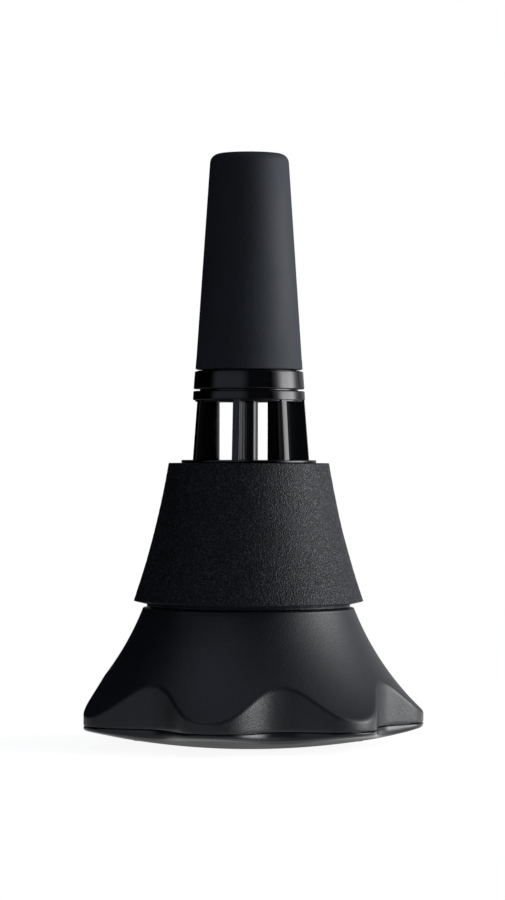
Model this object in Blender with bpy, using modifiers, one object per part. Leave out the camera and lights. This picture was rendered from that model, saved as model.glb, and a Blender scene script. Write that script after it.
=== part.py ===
# Trumpet practice mute: rubber tip on a twist-lock core, air cage, foam cone,
# seven-lobed bell shell and a domed base plate. Metres, +Z up, standing on its base.
from math import cos, pi, radians, sin, sqrt

import bmesh
import bpy
from mathutils import Matrix

object_name = "trumpet_practice_mute"

# General fits
fit_gap = 0.0003            # between pieces that touch or seat
tube_gap = 0.0003           # round the outlet tube
overcut = 0.002             # how far a cutter runs past a face
weld = 0.00001              # merge distance of the turned profiles

# Tip: rubber cap over a rigid core
tip_top_z = 0.1768
cap_crown = 0.0004
cap_corner = 0.0029
cap_top_radius = 0.01163    # where the cone would meet the top plane
cap_base_radius = 0.01600
cap_groove = 0.0005         # between the cap and the collar under it
cap_edge = 0.0004
cap_wall = 0.0018
core_wall = 0.0015

# Tip collar, the upper gloss ring
collar_height = 0.0053
collar_top_radius = 0.0159
collar_base_radius = 0.0163
collar_chamfer = 0.0003
collar_roof = 0.0012
seat_radius = 0.0153
sleeve_radius = 0.0129
sleeve_wall = 0.0013

# Twist lock between the core and the cage
lug_count = 3
lug_rise = 0.0014
lug_height = 0.0010
lug_angle = radians(12)
twist_angle = radians(40)
slot_side_angle = radians(2)
seal_height = 0.0008

# Cage: head ring, seven fins and floor flange
lobe_count = 7
parting_gap = 0.0006        # between the head ring and the collar above it
head_base_z = 0.1028
head_height = 0.0027
head_top_radius = 0.01635
head_base_radius = 0.0165
head_plate = 0.0015
spigot_radius = 0.0147
spigot_wall = 0.0015
fin_width = 0.0022
fin_inner_radius = 0.0102
fin_base_radius = 0.0180
fin_root = 0.0006
flange_top_z = 0.0849
flange_height = 0.0009
flange_radius = 0.0202
floor_plate = 0.0024
floor_spigot_depth = 0.0045
floor_spigot_wall = 0.0018
head_port_radius = 0.0016
head_port_circle = 0.0088
floor_port_radius = 0.0020
floor_port_circle = 0.0085

# Outlet tube and the rubber rings that hold it
tube_radius = 0.0027
tube_bore = 0.00195
tube_top_z = 0.150
grommet_wall = 0.0014
grommet_lip = 0.0012
grommet_lip_height = 0.0010
turret_radius = 0.0105
turret_wall = 0.0015
turret_top_z = 0.0110
turret_plug_depth = 0.0030
tube_end_drop = 0.0008

# Foam sleeve and the cone under it
foam_top_radius = 0.02405
foam_base_radius = 0.0344
foam_base_z = 0.0431
foam_arc_radius = 0.2425
foam_wall = 0.0040
foam_undercut = 0.0018
cone_wall = 0.0018
cone_flange_height = 0.0022
cone_flange_bore = 0.0205

# Bell shell
shoulder_z = 0.0408
shoulder_radius = 0.0313
shoulder_edge = 0.0004
flare_top_radius = 0.0316
flare_arc_radius = 0.0838
flare_base_radius = 0.0532
flare_base_z = 0.0092
crease_start_z = 0.0205
crease_fillet = 0.0010
shell_wall = 0.0022
parting_z = 0.0069
lobe_mean_radius = 0.04793
lobe_rise = 0.00413
gasket_inner_radius = 0.0268
gasket_width = 0.0024
gasket_height = 0.0012
gasket_groove = 0.0013

# Base plate
dome_radius = 0.224
foot_radius = 0.0192
plate_floor_z = 0.0036
plate_floor_radius = 0.0310
plate_rise_radius = 0.0385
plate_edge = 0.00025
plate_round = 0.0009
tongue_wall = 0.0015
tongue_height = 0.0016
vent_radius = 0.0012
vent_circle = 0.0062

# Damping ring on the base plate
damper_inner_radius = 0.0125
damper_outer_radius = 0.0295
damper_height = 0.0080

# Screws
screw_count = 3
screw_turn = radians(90)
screw_head_radius = 0.0027
screw_head_height = 0.0014
screw_shank_radius = 0.0012
screw_drive_radius = 0.0011
screw_drive_depth = 0.0008
neck_screw_circle = 0.0238
neck_screw_length = 0.0070
neck_boss_wall = 0.0014
neck_boss_height = 0.0055
base_screw_circle = 0.0360
base_screw_length = 0.0100
base_post_wall = 0.0018
base_pad_wall = 0.0012
screw_recess = 0.0003

# Facet counts
tip_steps = 32
cage_steps = 35
cone_steps = 42
shell_steps = 70
small_steps = 16

part_collection = None
cutter_collection = None


def start_scene():
    global part_collection, cutter_collection
    for thing in list(bpy.data.objects):
        bpy.data.objects.remove(thing, do_unlink=True)
    part_collection = bpy.data.collections.new(object_name)
    cutter_collection = bpy.data.collections.new("cutters")
    for collection in (part_collection, cutter_collection):
        bpy.context.scene.collection.children.link(collection)


def finish(name, colour, roughness, metallic=0.0):
    material = bpy.data.materials.new(name)
    material.use_nodes = True
    shader = material.node_tree.nodes["Principled BSDF"]
    shader.inputs["Base Color"].default_value = (*colour, 1.0)
    shader.inputs["Roughness"].default_value = roughness
    shader.inputs["Metallic"].default_value = metallic
    material.diffuse_color = (*colour, 1.0)
    return material


def place(name, mesh, colour=(0.1, 0.1, 0.1), roughness=0.5, metallic=0.0):
    """Links a finished piece to the part's collection with its own material."""
    piece = bpy.data.objects.new(name, mesh)
    part_collection.objects.link(piece)
    mesh.materials.append(finish(name, colour, roughness, metallic))
    return piece


def cutter(name, mesh):
    tool = bpy.data.objects.new(name, mesh)
    cutter_collection.objects.link(tool)
    tool.hide_render = True
    tool.display_type = "WIRE"
    return tool


def mesh_from(name, form):
    mesh = bpy.data.meshes.new(name)
    form.to_mesh(mesh)
    form.free()
    return mesh


def profile_mesh(name, points, closed):
    """A chain of (radius, height) points in the XZ plane, for the Screw modifier."""
    form = bmesh.new()
    corners = [form.verts.new((radius, 0, height)) for radius, height in points]
    for start, end in zip(corners, corners[1:]):
        form.edges.new((start, end))
    if closed:
        form.edges.new((corners[-1], corners[0]))
    return mesh_from(name, form)


def turn(piece, steps):
    screw = piece.modifiers.new("turn", "SCREW")
    screw.axis = "Z"
    screw.angle = 2 * pi
    screw.steps = steps
    screw.render_steps = steps
    screw.use_merge_vertices = True
    screw.merge_threshold = weld
    screw.use_smooth_shade = True


def join(piece, other, operation):
    step = piece.modifiers.new(operation.lower(), "BOOLEAN")
    step.operation = operation
    step.solver = "EXACT"
    step.object = other


def curve_through(top, foot, arc_radius):
    """Centre and radius of the arc of a concave flare, from its top and foot points."""
    run = (foot[0] - top[0], foot[1] - top[1])
    chord = sqrt(run[0] ** 2 + run[1] ** 2)
    reach = sqrt(arc_radius ** 2 - (chord / 2) ** 2)
    return ((top[0] + foot[0]) / 2 - run[1] / chord * reach,
            (top[1] + foot[1]) / 2 + run[0] / chord * reach, arc_radius)


def curve_radius(curve, height, inset=0.0):
    """Radius of a flare at a height, or of the parallel flare that lies inset inside it."""
    centre_radius, centre_height, arc_radius = curve
    return centre_radius - sqrt((arc_radius + inset) ** 2 - (centre_height - height) ** 2)


def heights(top, foot, count):
    return [top + (foot - top) * index / count for index in range(count + 1)]


def curve_outline(curve, top, foot, count, inset=0.0):
    return [(curve_radius(curve, height, inset), height) for height in heights(top, foot, count)]


def loft(name, rings, steps, closed):
    """Skins a stack of rings, top to bottom on the outside.

    Each ring gives a radius and a height for an angle. A closed loft runs back up inside.
    """
    form = bmesh.new()
    loops = []
    for ring in rings:
        loop = []
        for index in range(steps):
            angle = 2 * pi * index / steps
            radius, height = ring(angle)
            loop.append(form.verts.new((radius * cos(angle), radius * sin(angle), height)))
        loops.append(loop)
    pairs = list(zip(loops, loops[1:]))
    if closed:
        pairs.append((loops[-1], loops[0]))
    else:
        form.faces.new(loops[0])
        form.faces.new(loops[-1][::-1])
    for upper, lower in pairs:
        for index in range(steps):
            after = (index + 1) % steps
            form.faces.new((upper[index], lower[index], lower[after], upper[after]))
    return mesh_from(name, form)


def circle(radius, height):
    return lambda angle: (radius, height)


def lobe_radius(angle, inset=0.0):
    """The seven-lobed outline at an angle, moved in square to itself by inset."""
    radius = lobe_mean_radius + lobe_rise * cos(lobe_count * angle)
    slope = -lobe_rise * lobe_count * sin(lobe_count * angle) / radius
    return radius - inset * sqrt(1 + slope ** 2)


def lobed(height, inset=0.0):
    return lambda angle: (lobe_radius(angle, inset), height)


def fluted(height, inset=0.0):
    """The flare at a height where it isn't cut by the lobed outline, with a soft crease."""
    flare = curve_radius(flare_curve(), height, inset)

    def ring(angle):
        outline = lobe_radius(angle, inset)
        near = max(crease_fillet - abs(flare - outline), 0) / crease_fillet
        return min(flare, outline) - near ** 2 * crease_fillet / 4, height
    return ring


def rod_mesh(name, radius, low, high, steps):
    """An upright rod on the axis."""
    form = bmesh.new()
    bmesh.ops.create_cone(form, cap_ends=True, segments=steps, radius1=radius, radius2=radius,
                          depth=high - low)
    bmesh.ops.translate(form, verts=form.verts, vec=(0, 0, (low + high) / 2))
    return mesh_from(name, form)


def ring_of_rods(name, count, circle, radius, low, high, turn_by=0.0, steps=small_steps):
    """Several upright rods on a circle in one mesh, used as one cutter or one union."""
    form = bmesh.new()
    for index in range(count):
        angle = turn_by + 2 * pi * index / count
        place_at = Matrix.Translation((circle * cos(angle), circle * sin(angle), (low + high) / 2))
        bmesh.ops.create_cone(form, cap_ends=True, segments=steps, radius1=radius,
                              radius2=radius, depth=high - low, matrix=place_at)
    return mesh_from(name, form)


def arc_blocks(name, inner, outer, low, high, start, sweep, steps=6):
    """One curved block for each lug, swept about Z from a radial rectangle."""
    form = bmesh.new()
    for index in range(lug_count):
        angle = start + 2 * pi * index / lug_count
        corners = [form.verts.new((radius * cos(angle), radius * sin(angle), height))
                   for radius, height in ((inner, low), (outer, low), (outer, high), (inner, high))]
        face = form.faces.new(corners)
        geometry = [face, *face.edges, *face.verts]
        bmesh.ops.spin(form, geom=geometry, cent=(0, 0, 0), axis=(0, 0, 1), angle=sweep,
                       steps=steps, use_duplicate=False)
    bmesh.ops.recalc_face_normals(form, faces=form.faces)
    return mesh_from(name, form)


# Heights and outlines shared by neighbouring pieces

def head_top_z():
    return head_base_z + head_height


def collar_base_z():
    return head_top_z() + parting_gap


def collar_top_z():
    return collar_base_z() + collar_height


def cap_base_z():
    return collar_top_z() + cap_groove


def cap_radius(height):
    share = (height - cap_base_z()) / (tip_top_z - cap_base_z())
    return cap_base_radius + (cap_top_radius - cap_base_radius) * share


def foam_top_z():
    return flange_top_z - flange_height


def foam_curve():
    return curve_through((foam_top_radius, foam_top_z()), (foam_base_radius, foam_base_z),
                         foam_arc_radius)


def flare_curve():
    return curve_through((flare_top_radius, shoulder_z - shoulder_edge),
                         (flare_base_radius, flare_base_z), flare_arc_radius)


def cone_inset():
    """How far the cone's outer side lies inside the foam's outer side."""
    return foam_wall + fit_gap


def cone_foot_z():
    """The cone stands on the gasket, which holds it just clear of the shell's shoulder."""
    return shoulder_z - gasket_groove + gasket_height + 2 * fit_gap


def dome_height(radius):
    flat = sqrt(dome_radius ** 2 - foot_radius ** 2)
    return flat - sqrt(dome_radius ** 2 - radius ** 2)


def sleeve_end_z():
    return head_base_z + head_plate + fit_gap


def slot_low_z():
    """The lock's slots start just above the collar's lower edge, which hides them."""
    return collar_base_z() + fit_gap


def collar_ceiling_z():
    return collar_top_z() - collar_roof


def spigot_top_z():
    return collar_ceiling_z() - seal_height - 2 * fit_gap


def make_tip_cap():
    outer_corner = []
    corner_radius = cap_radius(tip_top_z - cap_corner)
    for index in range(6):
        angle = radians(90) * (1 - index / 5)
        outer_corner.append((corner_radius - cap_corner * (1 - cos(angle)),
                             tip_top_z - cap_crown - cap_corner * (1 - sin(angle))))
    edge = [(cap_base_radius, cap_base_z() + cap_edge),
            (cap_base_radius - cap_edge, cap_base_z())]
    bore_top_z = tip_top_z - cap_crown - cap_wall
    points = [(0, tip_top_z), (corner_radius / 2, tip_top_z - cap_crown / 4), *outer_corner, *edge,
              (cap_radius(cap_base_z()) - cap_wall, cap_base_z()),
              (cap_radius(bore_top_z) - cap_wall, bore_top_z),
              (0, bore_top_z)]
    cap = place("tip_cap", profile_mesh("tip_cap", points, False), (0.022, 0.025, 0.030), 0.62)
    turn(cap, tip_steps)


def make_tip_core():
    """Closed tube under the cap, with the collar, its skirt and the lock sleeve below."""
    head_z = tip_top_z - cap_crown - cap_wall - fit_gap
    skin = cap_wall + fit_gap
    seat_z = cap_base_z() - fit_gap
    root_radius = cap_radius(cap_base_z()) - skin
    points = [(0, head_z), (cap_radius(head_z) - skin, head_z), (root_radius, seat_z),
              (seat_radius, seat_z), (seat_radius, collar_top_z()),
              (collar_top_radius - collar_chamfer, collar_top_z()),
              (collar_top_radius, collar_top_z() - collar_chamfer),
              (collar_base_radius, collar_base_z()),
              (spigot_radius + fit_gap, collar_base_z()),
              (spigot_radius + fit_gap, collar_ceiling_z()),
              (sleeve_radius, collar_ceiling_z()), (sleeve_radius, sleeve_end_z()),
              (sleeve_radius - sleeve_wall, sleeve_end_z()),
              (sleeve_radius - sleeve_wall, collar_top_z()),
              (cap_radius(head_z) - skin - core_wall, head_z - core_wall),
              (0, head_z - core_wall)]
    core = place("tip_core", profile_mesh("tip_core", points, False), (0.010, 0.010, 0.012), 0.18)
    turn(core, tip_steps)
    lugs = cutter("lock_lugs", arc_blocks(
        "lock_lugs", sleeve_radius - sleeve_wall / 2, sleeve_radius + lug_rise,
        slot_low_z() + fit_gap, slot_low_z() + fit_gap + lug_height, -lug_angle / 2, lug_angle))
    join(core, lugs, "UNION")


def make_tip_seal():
    low = spigot_top_z() + fit_gap
    outer = spigot_radius
    inner = spigot_radius - spigot_wall
    points = [(outer, low + seal_height), (outer, low), (inner, low), (inner, low + seal_height)]
    seal = place("tip_seal", profile_mesh("tip_seal", points, True), (0.015, 0.015, 0.016), 0.7)
    turn(seal, tip_steps)


def grommet_hole():
    return tube_radius + tube_gap + grommet_wall + fit_gap


def make_cage():
    """Head ring with its spigot, floor flange with its spigot, and the fins between them."""
    bore = spigot_radius - spigot_wall
    head_points = [(spigot_radius, spigot_top_z()), (spigot_radius, head_top_z()),
                   (head_top_radius, head_top_z()), (head_base_radius, head_base_z),
                   (grommet_hole(), head_base_z), (grommet_hole(), head_base_z + head_plate),
                   (bore, head_base_z + head_plate), (bore, spigot_top_z())]
    cage = place("cage", profile_mesh("cage", head_points, True), (0.008, 0.008, 0.009), 0.12)
    turn(cage, cage_steps)

    flange_z = flange_top_z - flange_height
    floor_z = flange_top_z - floor_plate
    plug = curve_radius(foam_curve(), flange_z, cone_inset() + cone_wall + fit_gap)
    well = plug - floor_spigot_wall
    floor_points = [(flange_radius, flange_top_z), (flange_radius, flange_z), (plug, flange_z),
                    (plug, flange_z - floor_spigot_depth), (well, flange_z - floor_spigot_depth),
                    (well, floor_z), (tube_radius + tube_gap, floor_z),
                    (tube_radius + tube_gap, flange_top_z)]
    floor = cutter("cage_floor", profile_mesh("cage_floor", floor_points, True))
    turn(floor, cage_steps)

    join(cage, cutter("fins", fin_mesh()), "UNION")
    join(cage, floor, "UNION")
    join(cage, cutter("head_ports", ring_of_rods(
        "head_ports", lobe_count, head_port_circle, head_port_radius, head_base_z - overcut,
        head_base_z + head_plate + overcut, pi / lobe_count, 12)), "DIFFERENCE")
    join(cage, cutter("floor_ports", ring_of_rods(
        "floor_ports", lobe_count, floor_port_circle, floor_port_radius, floor_z - overcut,
        flange_top_z + overcut, pi / lobe_count, 12)), "DIFFERENCE")

    side = slot_side_angle + lug_angle / 2
    wall_in = bore - overcut / 4
    wall_out = spigot_radius + overcut / 4
    run = arc_blocks("slot_runs", wall_in, wall_out, slot_low_z(),
                     slot_low_z() + lug_height + 2 * fit_gap, -side, twist_angle + 2 * side, 10)
    entry = arc_blocks("slot_entries", wall_in, wall_out, slot_low_z() + lug_height,
                       spigot_top_z() + overcut, twist_angle - side, 2 * side, 4)
    join(cage, cutter("slot_runs", run), "DIFFERENCE")
    join(cage, cutter("slot_entries", entry), "DIFFERENCE")


def fin_mesh():
    """Radial fins with a sloping outer edge, one on the line of each lobe."""
    form = bmesh.new()
    side = [(fin_inner_radius, flange_top_z - fin_root), (fin_base_radius, flange_top_z - fin_root),
            (head_base_radius - weld, head_base_z + fin_root),
            (fin_inner_radius, head_base_z + fin_root)]
    for index in range(lobe_count):
        turn_by = Matrix.Rotation(2 * pi * index / lobe_count, 3, "Z")
        corners = [form.verts.new((radius, -fin_width / 2, height)) for radius, height in side]
        raised = bmesh.ops.extrude_face_region(form, geom=[form.faces.new(corners)])
        top = [item for item in raised["geom"] if isinstance(item, bmesh.types.BMVert)]
        bmesh.ops.translate(form, verts=top, vec=(0, fin_width, 0))
        bmesh.ops.rotate(form, verts=[*corners, *top], cent=(0, 0, 0), matrix=turn_by)
    bmesh.ops.recalc_face_normals(form, faces=form.faces)
    return mesh_from("fins", form)


def make_outlet_tube():
    low = turret_top_z - turret_plug_depth - tube_end_drop
    points = [(tube_radius, tube_top_z), (tube_radius, low), (tube_bore, low),
              (tube_bore, tube_top_z)]
    tube = place("outlet_tube", profile_mesh("outlet_tube", points, True),
                 (0.010, 0.010, 0.012), 0.15)
    turn(tube, small_steps)


def make_head_grommet():
    """Rubber ring that seals the tube in the cage's head, its lip on the plate's top."""
    bore = tube_radius + tube_gap
    neck = bore + grommet_wall
    lip_low = head_base_z + head_plate + fit_gap
    points = [(neck + grommet_lip, lip_low + grommet_lip_height), (neck + grommet_lip, lip_low),
              (neck, lip_low), (neck, head_base_z), (bore, head_base_z),
              (bore, lip_low + grommet_lip_height)]
    ring = place("head_grommet", profile_mesh("head_grommet", points, True),
                 (0.014, 0.014, 0.015), 0.7)
    turn(ring, small_steps)


def make_base_grommet():
    """Rubber plug in the plate's turret, which carries the tube's lower end."""
    bore = tube_radius + tube_gap
    plug = turret_radius - turret_wall - fit_gap
    lip_low = turret_top_z + fit_gap
    points = [(turret_radius, lip_low + grommet_lip_height), (turret_radius, lip_low),
              (plug, lip_low), (plug, turret_top_z - turret_plug_depth),
              (bore, turret_top_z - turret_plug_depth), (bore, lip_low + grommet_lip_height)]
    ring = place("base_grommet", profile_mesh("base_grommet", points, True),
                 (0.014, 0.014, 0.015), 0.7)
    turn(ring, small_steps)


def make_foam_sleeve():
    """Flared foam tube: flat on top, its lower end sloping in and down to the cone."""
    curve = foam_curve()
    outer = curve_outline(curve, foam_top_z(), foam_base_z, 7)
    inner = curve_outline(curve, foam_top_z(), foam_base_z - foam_undercut, 4, foam_wall)
    points = outer + inner[::-1]
    foam = place("foam_sleeve", profile_mesh("foam_sleeve", points, True),
                 (0.012, 0.012, 0.014), 0.95)
    turn(foam, cone_steps)


def make_cone_body():
    """Flared tube under the foam, with an inward foot flange and screw bosses."""
    curve = foam_curve()
    foot_z = cone_foot_z()
    flange_z = foot_z + cone_flange_height
    outer = curve_outline(curve, foam_top_z() - fit_gap, foot_z, 4, cone_inset())
    inner = curve_outline(curve, foam_top_z() - fit_gap, flange_z, 4, cone_inset() + cone_wall)
    flange = [(cone_flange_bore, foot_z), (cone_flange_bore, flange_z)]
    points = outer + flange + inner[::-1]
    cone = place("cone_body", profile_mesh("cone_body", points, True), (0.012, 0.012, 0.013), 0.45)
    turn(cone, cone_steps)
    hole = screw_shank_radius + fit_gap
    join(cone, cutter("neck_bosses", ring_of_rods(
        "neck_bosses", screw_count, neck_screw_circle, hole + neck_boss_wall,
        foot_z + cone_flange_height / 2, foot_z + neck_boss_height, screw_turn)), "UNION")
    join(cone, cutter("neck_pilots", ring_of_rods(
        "neck_pilots", screw_count, neck_screw_circle, hole, foot_z - overcut,
        foot_z + neck_boss_height + overcut, screw_turn, 12)), "DIFFERENCE")


def make_neck_gasket():
    low = shoulder_z - gasket_groove + fit_gap
    inner = gasket_inner_radius
    outer = inner + gasket_width
    points = [(outer, low + gasket_height), (outer, low), (inner, low), (inner, low + gasket_height)]
    gasket = place("neck_gasket", profile_mesh("neck_gasket", points, True),
                   (0.010, 0.010, 0.011), 0.75)
    turn(gasket, cone_steps)


def shell_roof_z():
    """Underside of the shell's roof, which is thick enough for the gasket's groove."""
    return shoulder_z - gasket_groove - shell_wall / 2


def flute_rings(top, inset, upper_count, crease_count):
    """Rings down the flare, closer together where the crease between the lobes runs."""
    above = heights(top, crease_start_z, upper_count)
    below = heights(crease_start_z, flare_base_z, crease_count)[1:]
    return [fluted(height, inset) for height in above + below]


def make_bell_shell():
    """Flare lofted into the seven-lobed skirt, with the parallel inside one wall away."""
    groove_in = gasket_inner_radius - fit_gap
    groove_out = gasket_inner_radius + gasket_width + fit_gap
    groove_z = shoulder_z - gasket_groove
    roof_z = shell_roof_z()
    top = [circle(cone_flange_bore, shoulder_z), circle(groove_in, shoulder_z),
           circle(groove_in, groove_z), circle(groove_out, groove_z),
           circle(groove_out, shoulder_z), circle(shoulder_radius, shoulder_z)]
    outside = flute_rings(shoulder_z - shoulder_edge, 0.0, 3, 6)
    inside = flute_rings(roof_z, shell_wall, 2, 3)
    land_z = parting_z + tongue_height + fit_gap
    rings = [*top, *outside, lobed(parting_z), lobed(parting_z, shell_wall),
             lobed(land_z, shell_wall), *inside[::-1], circle(cone_flange_bore, roof_z)]
    shell = place("bell_shell", loft("bell_shell", rings, shell_steps, True),
                  (0.020, 0.021, 0.024), 0.5)

    hole = screw_shank_radius + fit_gap
    posts = cutter("base_posts", ring_of_rods(
        "base_posts", screw_count, base_screw_circle, hole + base_post_wall,
        parting_z, shoulder_z, screw_turn))
    in_wall = shell_wall / 2
    limit = [*flute_rings(shoulder_z - in_wall, in_wall, 2, 3), lobed(parting_z - overcut, in_wall)]
    join(posts, cutter("post_limit", loft("post_limit", limit, shell_steps, False)), "INTERSECT")
    join(shell, posts, "UNION")
    join(shell, cutter("shell_pilots", ring_of_rods(
        "shell_pilots", screw_count, base_screw_circle, hole, parting_z - overcut,
        parting_z + base_screw_length, screw_turn, 12)), "DIFFERENCE")
    join(shell, cutter("neck_holes", ring_of_rods(
        "neck_holes", screw_count, neck_screw_circle, hole, roof_z - overcut,
        shoulder_z + overcut, screw_turn, 12)), "DIFFERENCE")


def domed(radius):
    return circle(radius, dome_height(radius))


def rounded_rim(share):
    """A ring on the rounded edge between the plate's lobed side and its dome."""
    turn_by = radians(90) * share

    def ring(angle):
        side = plate_rim_z() - plate_edge - dome_height(lobe_radius(angle))
        edge = min(plate_round, side * 0.9)
        radius = lobe_radius(angle, edge * (1 - cos(turn_by)))
        return radius, dome_height(radius) + edge * (1 - sin(turn_by))
    return ring


def plate_rim_z():
    return parting_z - fit_gap


def make_base_plate():
    """Domed lobed plate with a flat foot, a locating tongue, the tube's turret and the vents."""
    rim_z = plate_rim_z()
    outside = shell_wall + fit_gap
    inside = outside + tongue_wall
    tongue_z = rim_z + tongue_height
    rings = [circle(plate_floor_radius, plate_floor_z), circle(plate_rise_radius, rim_z),
             lobed(rim_z, inside), lobed(tongue_z, inside), lobed(tongue_z, outside),
             lobed(rim_z, outside), lobed(rim_z, plate_edge), lobed(rim_z - plate_edge),
             rounded_rim(0), rounded_rim(0.5), rounded_rim(1),
             domed(plate_rise_radius), domed((plate_rise_radius + foot_radius) / 2),
             domed(foot_radius)]
    plate = place("base_plate", loft("base_plate", rings, shell_steps, False),
                  (0.020, 0.021, 0.024), 0.32)

    turret_points = [(turret_radius, turret_top_z), (turret_radius, plate_floor_z - fit_gap),
                     (turret_radius - turret_wall, plate_floor_z - fit_gap),
                     (turret_radius - turret_wall, turret_top_z)]
    turret = cutter("turret", profile_mesh("turret", turret_points, True))
    turn(turret, small_steps)
    join(plate, turret, "UNION")
    join(plate, cutter("vents", ring_of_rods(
        "vents", lobe_count, vent_circle, vent_radius, -overcut, plate_floor_z + overcut,
        pi / lobe_count, 8)), "DIFFERENCE")

    hole = screw_shank_radius + fit_gap
    recess_z = dome_height(base_screw_circle) + screw_recess + screw_head_height + fit_gap
    join(plate, cutter("screw_pads", ring_of_rods(
        "screw_pads", screw_count, base_screw_circle, hole + base_post_wall + base_pad_wall,
        plate_floor_z - fit_gap, rim_z - fit_gap, screw_turn)), "UNION")
    join(plate, cutter("head_recesses", ring_of_rods(
        "head_recesses", screw_count, base_screw_circle, screw_head_radius + fit_gap,
        -overcut, recess_z, screw_turn)), "DIFFERENCE")
    join(plate, cutter("plate_holes", ring_of_rods(
        "plate_holes", screw_count, base_screw_circle, hole, 0.0, rim_z + overcut, screw_turn, 12)),
        "DIFFERENCE")


def make_damping_ring():
    low = plate_floor_z + fit_gap
    points = [(damper_outer_radius, low + damper_height), (damper_outer_radius, low),
              (damper_inner_radius, low), (damper_inner_radius, low + damper_height)]
    ring = place("damping_ring", profile_mesh("damping_ring", points, True), (0.03, 0.03, 0.032), 0.95)
    turn(ring, cone_steps // 2)


def make_screw(name, index, pitch_radius, head_low_z, length):
    """Socket-head screw driven upwards: the head is below and the shank points up."""
    head_top = head_low_z + screw_head_height
    edge = screw_head_height / 4
    points = [(0, head_top + length), (screw_shank_radius - edge, head_top + length),
              (screw_shank_radius, head_top + length - edge), (screw_shank_radius, head_top),
              (screw_head_radius, head_top), (screw_head_radius, head_low_z + edge),
              (screw_head_radius - edge, head_low_z), (0, head_low_z)]
    screw = place(name, profile_mesh(name, points, False), (0.25, 0.25, 0.26), 0.35, 1.0)
    angle = screw_turn + 2 * pi * index / screw_count
    screw.location = (pitch_radius * cos(angle), pitch_radius * sin(angle), 0)
    turn(screw, 12)
    socket = rod_mesh(name + "_socket", screw_drive_radius, head_low_z - overcut,
                      head_low_z + screw_drive_depth, 6)
    drive = cutter(name + "_socket", socket)
    drive.location = screw.location
    join(screw, drive, "DIFFERENCE")


def make_screws():
    for index in range(screw_count):
        make_screw(f"neck_screw_{index + 1}", index, neck_screw_circle,
                   shell_roof_z() - fit_gap - screw_head_height, neck_screw_length)
        make_screw(f"base_screw_{index + 1}", index, base_screw_circle,
                   dome_height(base_screw_circle) + screw_recess, base_screw_length)


start_scene()
make_tip_cap()
make_tip_core()
make_tip_seal()
make_cage()
make_outlet_tube()
make_head_grommet()
make_base_grommet()
make_foam_sleeve()
make_cone_body()
make_neck_gasket()
make_bell_shell()
make_base_plate()
make_damping_ring()
make_screws()
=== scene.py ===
from math import cos, hypot, pi, radians, sin, sqrt, tan

import bmesh
import bpy
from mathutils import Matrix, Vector, noise

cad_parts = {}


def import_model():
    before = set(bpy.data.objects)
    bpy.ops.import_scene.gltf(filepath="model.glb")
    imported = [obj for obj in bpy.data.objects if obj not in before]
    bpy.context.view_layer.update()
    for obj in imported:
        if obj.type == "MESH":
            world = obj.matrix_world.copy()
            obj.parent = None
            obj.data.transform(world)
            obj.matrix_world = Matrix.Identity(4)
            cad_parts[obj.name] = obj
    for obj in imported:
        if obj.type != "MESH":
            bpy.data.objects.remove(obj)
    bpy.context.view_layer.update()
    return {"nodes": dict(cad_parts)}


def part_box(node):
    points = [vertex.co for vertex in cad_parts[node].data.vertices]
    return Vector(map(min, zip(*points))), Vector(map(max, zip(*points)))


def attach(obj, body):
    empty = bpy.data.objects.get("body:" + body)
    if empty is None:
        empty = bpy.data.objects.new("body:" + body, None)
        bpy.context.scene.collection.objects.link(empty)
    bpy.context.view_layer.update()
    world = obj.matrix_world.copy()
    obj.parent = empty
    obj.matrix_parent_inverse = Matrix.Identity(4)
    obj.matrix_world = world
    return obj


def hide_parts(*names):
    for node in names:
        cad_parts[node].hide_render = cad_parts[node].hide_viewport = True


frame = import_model()

view = {
    "place": (0.00109, -1.038, 0.0879),  # the photo's eye point, level with the foam
    "roll": radians(-0.13),
    "lens": 138.7,
    "sensor": 36.0,
    "nearest": 0.05,
}


def camera():
    data = bpy.data.cameras.new("camera")
    data.lens = view["lens"]
    data.sensor_width = view["sensor"]
    data.clip_start = view["nearest"]
    eye = bpy.data.objects.new("camera", data)
    eye.location = view["place"]
    eye.rotation_euler = (radians(90), view["roll"], 0)
    bpy.context.scene.collection.objects.link(eye)
    bpy.context.scene.camera = eye


# Small helpers for node trees

def plug(tree, node, values):
    for key, value in values.items():
        if isinstance(value, bpy.types.NodeSocket):
            tree.links.new(value, node.inputs[key])
        else:
            node.inputs[key].default_value = value


def addNode(tree, kind, values=None, **settings):
    made = tree.nodes.new(kind)
    for key, value in settings.items():
        setattr(made, key, value)
    plug(tree, made, values or {})
    return made


def calc(tree, operation, first, second=0.0, clamp=False):
    made = addNode(tree, "ShaderNodeMath", {0: first, 1: second}, operation=operation)
    made.use_clamp = clamp
    return made.outputs[0]


def plus(tree, first, second, clamp=False):
    return calc(tree, "ADD", first, second, clamp)


def times(tree, first, second, clamp=False):
    return calc(tree, "MULTIPLY", first, second, clamp)


def ease(tree, value, low, high, floor=0.0, top=1.0):
    made = addNode(tree, "ShaderNodeMapRange", {"Value": value, "From Min": low, "From Max": high,
                                                "To Min": floor, "To Max": top})
    made.interpolation_type = "SMOOTHSTEP"
    return made.outputs["Result"]


def vectorMath(tree, operation, first, second=(0.0, 0.0, 0.0)):
    return addNode(tree, "ShaderNodeVectorMath", {0: first, 1: second}, operation=operation).outputs


def noiseOf(tree, place, scale, detail, rough=0.5, distortion=0.0):
    return addNode(tree, "ShaderNodeTexNoise", {
        "Vector": place, "Scale": scale, "Detail": detail, "Roughness": rough,
        "Distortion": distortion}).outputs


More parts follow.
